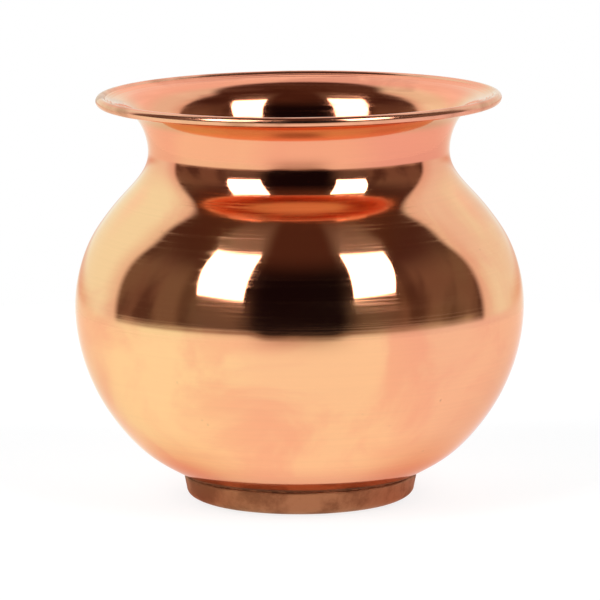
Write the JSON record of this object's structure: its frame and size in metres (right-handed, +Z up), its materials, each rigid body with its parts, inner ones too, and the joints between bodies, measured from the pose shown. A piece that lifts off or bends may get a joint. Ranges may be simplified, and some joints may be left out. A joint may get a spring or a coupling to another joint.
{
  "type": "kalash pot",
  "caption": "Round-bellied copper water pot with a narrow neck, a flared mouth with a rolled lip, and a low separate foot ring.",
  "frame": {"origin": "centre of the foot ring's resting face, on the pot's axis", "axes": "+Z up along the pot's axis, towards the mouth; the pot is round, so +X and +Y are any two directions square to it, with -Y towards the viewer"},
  "size_m": [0.105, 0.105, 0.0955],
  "materials": {
    "polished_copper": "mirror-polished bare copper",
    "wire": "drawn copper wire",
    "unpolished_copper": "matte unpolished copper, mottled brown",
    "braze": "dull dark braze filler"
  },
  "bodies": {
    "root": {"body_shell": "polished_copper", "rim_wire": "wire", "foot_ring": "unpolished_copper", "foot_braze": "braze"}
  },
  "joints": []
}
